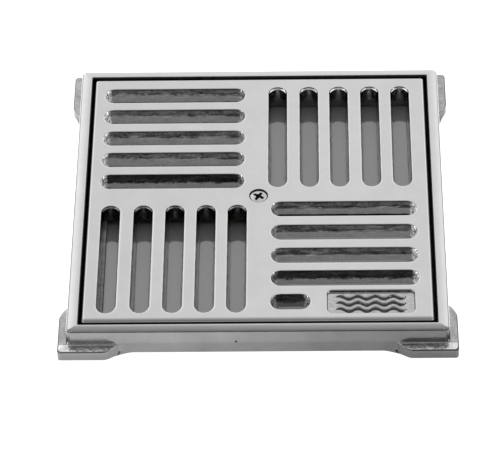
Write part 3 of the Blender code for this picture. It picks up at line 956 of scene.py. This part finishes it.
def cast_chrome():
    """Chrome over the sand-cast skin of the slots that run across, with pits, and painted light:
    front-facing walls glow, speckled above a ragged line and brighter below it, with painted highlight
    streaks and glints at the ends."""
    m = Nodes("as_cast_chrome")
    place, facing = m.split(m.place), m.split(m.facing)
    mottle = m.noise(3.0 * MM, 8.0, 0.75, (2.0, 1, 0.8), 0.25)
    fine = m.noise(0.6 * MM, 4.0, 0.7, (1.5, 1, 1))
    depth = m.minus(GRATE_TOP, place["Z"])
    back_row, front_row, last_row = (m.row(place["Y"], middle) for middle in DARK_ROWS)
    rows = m.times(back_row, front_row, last_row)
    shade = m.times(m.remap(mottle, 0.38, 0.62, 0.10, 0.42), m.remap(rows, 0.0, 1.0, 0.5, 1.0))
    # The brighter lower part of the painted light starts at a ragged line, lower in the darker rows.
    line = m.plus(
        depth,
        m.remap(mottle, 0.35, 0.65, -0.9 * MM, 0.9 * MM),
        m.remap(fine, 0.3, 0.7, -0.7 * MM, 0.7 * MM),
    )
    start = m.remap(rows, 0.0, 1.0, 5.2 * MM, 3.0 * MM)
    lower = m.remap(m.minus(line, start), -0.3 * MM, 0.5 * MM, 0.0, 1.0)
    # Painted light: brighter below the line and speckled elsewhere, with thin painted highlight streaks
    # about 4 mm down.
    lower_painted_light = m.times(lower, m.remap(fine, 0.3, 0.7, 0.10, 0.155), m.remap(last_row, 0.0, 1.0, 0.3, 1.0))
    speckled_painted_light = m.times(rows, m.remap(m.plus(mottle, fine), 0.80, 1.2, 0.0, 0.09))
    painted_streaks = m.remap(m.noise(1.0 * MM, 2.0, 0.5, (6.0, 1, 0.3)), 0.60, 0.68, 0.0, 0.16)
    painted_streaks = m.times(painted_streaks, m.near(depth, 4.0 * MM, 0.6 * MM, 1.4 * MM), rows)
    light = m.plus(painted_streaks, m.math("MAXIMUM", lower_painted_light, speckled_painted_light))
    # Dark pits along the seam between the two parts of the painted light, fewer to the left: the painted
    # light is cut there.
    streak = m.noise(2.6 * MM, 5.0, 0.7, (3.0, 1, 0.6))
    rightward = m.remap(place["X"], -34 * MM, -10 * MM, 0.60, 0.46)
    pits = m.times(m.near(depth, 3.4 * MM, 0.5 * MM, 1.1 * MM), m.math("GREATER_THAN", streak, rightward))
    # The painted light falls only where the walls face the front, and fades just under the top.
    front = m.remap(facing["Y"], -0.2, -0.9, 0.0, 1.0)
    light = m.times(front, light, m.minus(1.0, m.times(pits, 0.9)))
    light = m.times(light, m.remap(depth, 0.4 * MM, 1.2 * MM, 0.2, 1.0))
    # Painted glints on the slots' round ends, the stronger the further they are from the grate's middle.
    painted_end_glints = m.times(
        m.remap(m.size(facing["X"]), 0.35, 0.6, 0.0, 1.0),
        m.remap(m.size(m.plus(place["X"], -4 * MM)), 5 * MM, 50 * MM, 0.3, 1.0),
        m.remap(m.noise(0.9 * MM, 3.0, 0.6), 0.42, 0.58, 0.04, 1.0),
        m.remap(depth, 0.5 * MM, 2.0 * MM, 1.0, 0.45),
    )
    m.glow(m.plus(light, painted_end_glints))
    lumps = m.bump(m.noise(1.8 * MM, 3.0, 0.55), 0.22 * MM)
    grain = m.bump(m.noise(0.35 * MM, 3.0, 0.6), 0.03 * MM, lumps)
    return m.skin(m.grey(shade), m.remap(mottle, 0.3, 0.7, 0.35, 0.16), grain)


def smooth_cast_chrome():
    """Chrome inside the slots that run along: cast too, but smoother, with painted shade on their back ends,
    more in the front block, and high on their long walls, and a painted highlight in a thin bright arc round
    each back end."""
    m = Nodes("smooth_cast_chrome")
    place, facing = m.split(m.place), m.split(m.facing)
    mottle = m.noise(3.0 * MM, 5.0, 0.6, (1, 1, 1), 0.5)
    depth = m.minus(GRATE_TOP, place["Z"])
    # Painted shade on the back end walls, stronger in the front block, and high on the long walls.
    back_end = m.remap(facing["Y"], -0.85, -0.3, 1.0, 0.0)
    end_wall_shade = m.times(back_end, m.remap(place["Y"], -10 * MM, 10 * MM, 0.71, 0.25))
    long_wall = m.remap(m.size(facing["X"]), 0.5, 0.8, 0.0, 1.0)
    upper = m.times(long_wall, m.remap(depth, 1.8 * MM, 4.5 * MM, 0.93, 0.25))
    tone_and_painted_shade = m.times(m.remap(mottle, 0.35, 0.65, 0.6, 1.0), m.minus(0.78, end_wall_shade), m.minus(1.0, upper))
    # Painted highlight: a glowing thin arc just under the lip of each back end, stronger in the back block.
    painted_arc_highlight = m.times(
        m.near(depth, 0.95 * MM, 0.25 * MM, 0.5 * MM),
        m.remap(m.size(facing["X"]), 0.25, 0.6, 0.3, 1.0),
        m.remap(facing["Y"], -0.3, -0.55, 0.0, 1.0),
        m.remap(place["Y"], -10 * MM, 10 * MM, 0.15, 1.1),
        m.remap(mottle, 0.4, 0.5, 0.5, 1.0),
    )
    m.glow(painted_arc_highlight)
    lumps = m.bump(m.noise(2.4 * MM, 3.0, 0.5), 0.12 * MM)
    grain = m.bump(m.noise(0.4 * MM, 3.0, 0.6), 0.02 * MM, lumps)
    return m.skin(m.grey(tone_and_painted_shade), m.remap(mottle, 0.3, 0.7, 0.16, 0.06), grain)


def side_chrome():
    """The frame's outer walls: plated over a casting that was only brushed, so wavier and pitted. Their dark
    grey, darker still to the right, is painted shade standing for the shadowed floor that they reflect.
    """
    m = Nodes("side_chrome")
    cloud = m.noise(18 * MM, 6.0, 0.6)
    pits = m.remap(m.noise(0.9 * MM, 3.0, 0.7), 0.70, 0.76, 0.0, -0.1)
    # Painted shade: darker to the right.
    rightward = m.remap(m.split(m.place)["X"], -30 * MM, 50 * MM, 0.245, 0.15)
    shade = m.plus(m.remap(cloud, 0.3, 0.7, -0.03, 0.03), pits, rightward)
    waves = m.bump(m.noise(7 * MM, 3.0, 0.5, (3, 3, 1)), 0.12 * MM)
    grain = m.bump(m.noise(0.5 * MM, 3.0, 0.5), 0.006 * MM, waves)
    return m.skin(m.grey(shade), m.remap(cloud, 0.3, 0.7, 0.14, 0.26), grain)


def foot_chrome():
    """The tops of the feet: brighter than the walls, lumpy, with small pits; the front ones are lighter
    still, a painted highlight.
    """
    m = Nodes("foot_chrome")
    cloud = m.noise(4 * MM, 6.0, 0.65, (1, 1, 1), 0.6)
    pits = m.remap(m.noise(1.1 * MM, 3.0, 0.7), 0.66, 0.72, 0.0, -0.5)
    # Painted highlight: the front feet's tops are lighter.
    front = m.remap(m.split(m.place)["Y"], -WALL, -WALL - 0.5 * MM, 0.0, 0.42)
    shade = m.plus(m.remap(cloud, 0.3, 0.7, 0.30, 0.56), pits, front)
    lumps = m.bump(m.noise(2.2 * MM, 4.0, 0.6), 0.22 * MM)
    grain = m.bump(m.noise(0.5 * MM, 3.0, 0.6), 0.02 * MM, lumps)
    return m.skin(m.grey(shade), m.remap(cloud, 0.3, 0.7, 0.30, 0.16), grain)


def gap_shade_chrome():
    """Where the pieces face each other: as cast, and painted near black as the shade in the gaps between
    them.
    """
    m = Nodes("gap_shade_chrome")
    mottle = m.noise(3 * MM, 5.0, 0.6)
    tint = m.mix(m.remap(mottle, 0.35, 0.65, 0.0, 1.0), (0.05, 0.05, 0.05), (0.10, 0.10, 0.10))
    return m.skin(tint, m.remap(mottle, 0.3, 0.7, 0.6, 0.45), m.bump(m.noise(0.8 * MM, 3.0, 0.6), 0.08 * MM))


def ledge_chrome():
    """The ledge, whose inner edge shows in the outermost slots: a dull grey skin, darker nearer the rim with
    painted shade for the gap round the grate.
    """
    m = Nodes("ledge_chrome")
    mottle = m.noise(3 * MM, 5.0, 0.6)
    away = m.size(m.split(m.place)["X"])
    m.link(m.remap(away, 65 * MM, 66.5 * MM, 0.0, 1.0), m.shader.inputs["Metallic"])
    # Painted shade: darker nearer the rim.
    shade = m.times(m.remap(mottle, 0.3, 0.7, 0.16, 0.32), m.remap(away, 65 * MM, 66.5 * MM, 1.0, 0.3))
    normal = m.bump(m.noise(0.8 * MM, 3.0, 0.6), 0.08 * MM)
    return m.skin(m.grey(shade), m.remap(mottle, 0.3, 0.7, 0.7, 0.5), normal)


def satin_chrome():
    """The cartouche's floor and ripples: plated as cast, unpolished, with painted shade where they face the
    front.
    """
    m = Nodes("satin_chrome")
    cloud = m.noise(1.5 * MM, 4.0, 0.6)
    # Painted shade: darker where the surface faces the front.
    front_facing_shade = m.remap(m.split(m.facing)["Y"], -0.8, -0.35, 0.3, 1.0)
    shade = m.times(front_facing_shade, m.remap(cloud, 0.35, 0.65, 0.46, 0.60))
    normal = m.bump(m.noise(0.7 * MM, 3.0, 0.6), 0.03 * MM)
    return m.skin(m.grey(shade), m.remap(cloud, 0.3, 0.7, 0.12, 0.22), normal)


def screw_steel():
    m = Nodes("screw_steel")
    wear = m.noise(1.2 * MM, 4.0, 0.6)
    tint = m.mix(m.remap(wear, 0.35, 0.65, 0.0, 1.0), (0.52, 0.52, 0.53), (0.66, 0.66, 0.66))
    return m.skin(tint, m.remap(wear, 0.3, 0.7, 0.28, 0.16), m.bump(m.noise(0.3 * MM, 3.0, 0.5), 0.01 * MM))


def recess_steel():
    """Inside the screw's cross recess: painted near black, the shade in the recess, mottled."""
    m = Nodes("recess_steel")
    mottle_in_shade = m.noise(0.4 * MM, 4.0, 0.6)
    tint = m.mix(mottle_in_shade, (0.02, 0.02, 0.02), (0.10, 0.10, 0.10))
    return m.skin(tint, m.remap(mottle_in_shade, 0.3, 0.7, 0.6, 0.4), m.bump(m.noise(0.15 * MM), 0.01 * MM))


def brass(name, light, dark):
    m = Nodes(name)
    tarnish = m.noise(7 * MM, 6.0, 0.65)
    tint = m.mix(m.remap(tarnish, 0.35, 0.65, 0.0, 1.0), light, dark)
    rolled = m.noise(0.1 * MM, 2.0, 0.5, (40, 1, 1))
    return m.skin(tint, m.remap(tarnish, 0.3, 0.7, 0.25, 0.42), m.bump(rolled, 0.004 * MM))


def nylon():
    m = Nodes("nylon", 0.0)
    m.shader.inputs["Subsurface Weight"].default_value = 0.15
    m.shader.inputs["Subsurface Radius"].default_value = (0.001, 0.001, 0.001)
    m.shader.inputs["Subsurface Scale"].default_value = 0.5
    cloud = m.noise(1.5 * MM, 4.0, 0.6)
    tint = m.mix(cloud, (0.80, 0.79, 0.73), (0.86, 0.85, 0.80))
    return m.skin(tint, m.remap(cloud, 0.3, 0.7, 0.45, 0.6), m.bump(m.noise(0.2 * MM), 0.01 * MM))


def floor_material():
    """A pale light table that glows evenly; under the object it is darker and does not glow, a painted
    shade.
    """
    m = Nodes("pale_floor", 0.0)
    m.shader.inputs["Roughness"].default_value = 0.9
    place = m.split(m.place)
    furthest = m.math("MAXIMUM", m.size(place["X"]), m.size(place["Y"]))
    # Painted shade: under the object the floor is darker and does not glow.
    clear_of_painted_shade = m.remap(furthest, WALL - 6 * MM, WALL, 0.0, 1.0)
    shade = m.plus(m.times(clear_of_painted_shade, 0.35), m.remap(m.noise(40 * MM, 4.0, 0.5), 0.3, 0.7, 0.55, 0.57))
    m.link(m.grey(shade), m.shader.inputs["Base Color"])
    m.glow(m.times(clear_of_painted_shade, FLOOR_GLOW))
    return m.material


# ---------------------------------------- stage, light and camera

FLOOR_HALF = 4.0
FLOOR_GLOW = 0.95
CAMERA_TARGET = Vector((-3.4 * MM, -16.6 * MM, GRATE_TOP - 0.15 * MM))
CAMERA_DISTANCE = 1.2430
CAMERA_ELEVATION = 45.911
CAMERA_AZIMUTH = 1.488
CAMERA_ROLL = -1.497
CAMERA_LENS = 220.4
# Brightness of the studio round the object from front to back, by share of the turn that starts at the front
# horizon and passes under the floor, the back horizon and the ceiling.
STUDIO = (
    (0.0, 0.3), (0.25, 0.3), (0.5, 1.05), (0.56, 1.03), (0.627, 0.91), (0.67, 0.80), (0.715, 0.50),
    (0.76, 0.38), (0.81, 0.28), (0.86, 0.18), (0.92, 0.12), (0.97, 0.08), (1.0, 0.06),
)
# Its change to the left and right, by share from the far left to the far right.
STUDIO_WIDTH = (
    (0.0, 0.3), (0.08, 0.25), (0.17, 0.3), (0.22, 0.95), (0.33, 1.34),
    (0.41, 1.06), (0.47, 0.94), (0.5, 1.0), (0.53, 0.96), (0.59, 1.03),
    (0.67, 1.28), (0.76, 0.95), (0.82, 0.3), (0.92, 0.25), (1.0, 0.3),
)
# The cards in front of the object that it reflects when seen from behind: azimuth, size and power of each.
FRONT_CARDS = ((-70, 2.0, 5.5), (-34, 2.0, 5.5), (0, 1.7, 2.6), (34, 2.0, 5.5), (70, 2.0, 5.5))
CARD_ELEVATION = 30
CARD_DISTANCE = 3.0
# The two small lamps, low at the left and right, that only shine in the chrome.
LAMP_AZIMUTH = 75
LAMP_ELEVATION = 6
LAMP_DISTANCE = 1.3
LAMP_SIZE = 0.25
LAMP_POWER = 5.0
# The light from behind that throws the slots' shadows on the floor.
BACK_ELEVATION = 52.5
BACK_AZIMUTH = 180.5
BACK_STRENGTH = 0.95
BACK_SPREAD = 3.0


def make_floor():
    bpy.ops.mesh.primitive_plane_add(size=2 * FLOOR_HALF, location=(0, 0, 0))
    floor = bpy.context.object
    floor.name = "floor"
    coat(floor, floor_material())


def ramp(studio, source, stops):
    node = studio.tree.nodes.new("ShaderNodeValToRGB")
    node.color_ramp.interpolation = "LINEAR"
    while len(node.color_ramp.elements) < len(stops):
        node.color_ramp.elements.new(0.5)
    for element, (place, light) in zip(node.color_ramp.elements, stops):
        element.position = place
        element.color = (light, light, light, 1.0)
    studio.link(source, node.inputs["Fac"])
    return node.outputs["Color"]


def make_studio():
    """A soft studio all round: pale behind the object, dim above and dark in front and far to the sides."""
    world = bpy.data.worlds.new("studio")
    bpy.context.scene.world = world
    world.use_nodes = True
    studio = Tree(world.node_tree)
    coordinates = studio.tree.nodes.new("ShaderNodeTexCoord")
    direction = studio.split(coordinates.outputs["Generated"])
    turn = studio.math("ARCTAN2", direction["Z"], direction["Y"])
    round_share = studio.math("MULTIPLY_ADD", turn, 0.5 / math.pi, 0.5)
    width_share = studio.math("MULTIPLY_ADD", direction["X"], 0.5, 0.5)
    mix = studio.tree.nodes.new("ShaderNodeMix")
    mix.data_type = "RGBA"
    mix.blend_type = "MULTIPLY"
    mix.inputs["Factor"].default_value = 1.0
    studio.link(ramp(studio, round_share, STUDIO), mix.inputs["A"])
    studio.link(ramp(studio, width_share, STUDIO_WIDTH), mix.inputs["B"])
    studio.link(mix.outputs["Result"], studio.tree.nodes["Background"].inputs["Color"])


def toward(azimuth, elevation):
    """The direction from the object at those angles in degrees. Azimuth 0 is the front, 90 the right."""
    a, e = math.radians(azimuth), math.radians(elevation)
    return Vector((math.sin(a) * math.cos(e), -math.cos(a) * math.cos(e), math.sin(e)))


def softbox(name, azimuth, elevation, distance, size, power):
    """A square area light aimed at the object, which shows only in the chrome."""
    direction = toward(azimuth, elevation)
    light = bpy.data.lights.new(name, "AREA")
    light.shape = "SQUARE"
    light.size = size
    light.energy = power
    obj = new_object(name, light)
    obj.location = direction * distance
    obj.rotation_euler = direction.to_track_quat("Z", "Y").to_euler()
    obj.visible_diffuse = False


def make_lights():
    for side, sign in (("left", -1), ("right", 1)):
        softbox(f"{side}_lamp", sign * LAMP_AZIMUTH, LAMP_ELEVATION, LAMP_DISTANCE, LAMP_SIZE, LAMP_POWER)
    for number, (azimuth, size, power) in enumerate(FRONT_CARDS):
        softbox(f"front_card_{number}", azimuth, CARD_ELEVATION, CARD_DISTANCE, size, power)
    sun = bpy.data.lights.new("back_light", "SUN")
    sun.energy = BACK_STRENGTH
    sun.angle = math.radians(BACK_SPREAD)
    obj = new_object("back_light", sun)
    direction = toward(BACK_AZIMUTH, BACK_ELEVATION)
    obj.rotation_euler = direction.to_track_quat("Z", "Y").to_euler()
    obj.visible_glossy = False


def make_camera():
    back = toward(CAMERA_AZIMUTH, CAMERA_ELEVATION)
    camera = bpy.data.cameras.new("camera")
    camera.lens = CAMERA_LENS
    camera.sensor_width = 36.0
    camera.clip_end = 20.0
    obj = new_object("camera", camera)
    upright = back.to_track_quat("Z", "Y").to_matrix().to_4x4()
    rolled = upright @ Matrix.Rotation(math.radians(CAMERA_ROLL), 4, "Z")
    obj.matrix_world = Matrix.Translation(CAMERA_TARGET + back * CAMERA_DISTANCE) @ rolled
    bpy.context.scene.camera = obj


def hand_over(piece, body, node):
    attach(piece, body)
    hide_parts(node)


def main():
    make_camera()
    make_floor()
    make_studio()
    make_lights()
    polished = polished_chrome()
    walls = side_chrome()
    cast = cast_chrome()
    # Near black: painted shade for the gaps between the pieces.
    hidden = gap_shade_chrome()
    satin = satin_chrome()
    # The bridge bar's brass is painted dark, a painted shade for where it lies under the grate.
    strip = brass("rolled_brass_in_painted_shade", (0.15, 0.125, 0.085), (0.08, 0.066, 0.045))
    turned_brass = brass("turned_brass", (0.60, 0.50, 0.31), (0.46, 0.37, 0.22))
    frame_piece = make_frame(polished, walls, foot_chrome(), hidden, ledge_chrome())
    hand_over(frame_piece, "frame", "frame")
    grate_piece = make_grate(polished, hidden, cast, smooth_cast_chrome(), satin)
    hand_over(grate_piece, "grate", "grate")
    hand_over(make_screw(screw_steel(), recess_steel()), "screw", "centre_screw")
    hand_over(make_washer(nylon()), "washer", "retaining_washer")
    hand_over(make_bar(strip), "frame", "bridge_bar")
    hand_over(make_bush(turned_brass), "frame", "threaded_bush")
    for side, sign in (("left", -1), ("right", 1)):
        rivet = make_rivet(f"brass_rivet_{side}", sign, turned_brass)
        hand_over(rivet, "frame", f"bridge_rivet_{side}")
    bpy.context.scene.view_settings.view_transform = "Standard"


main()
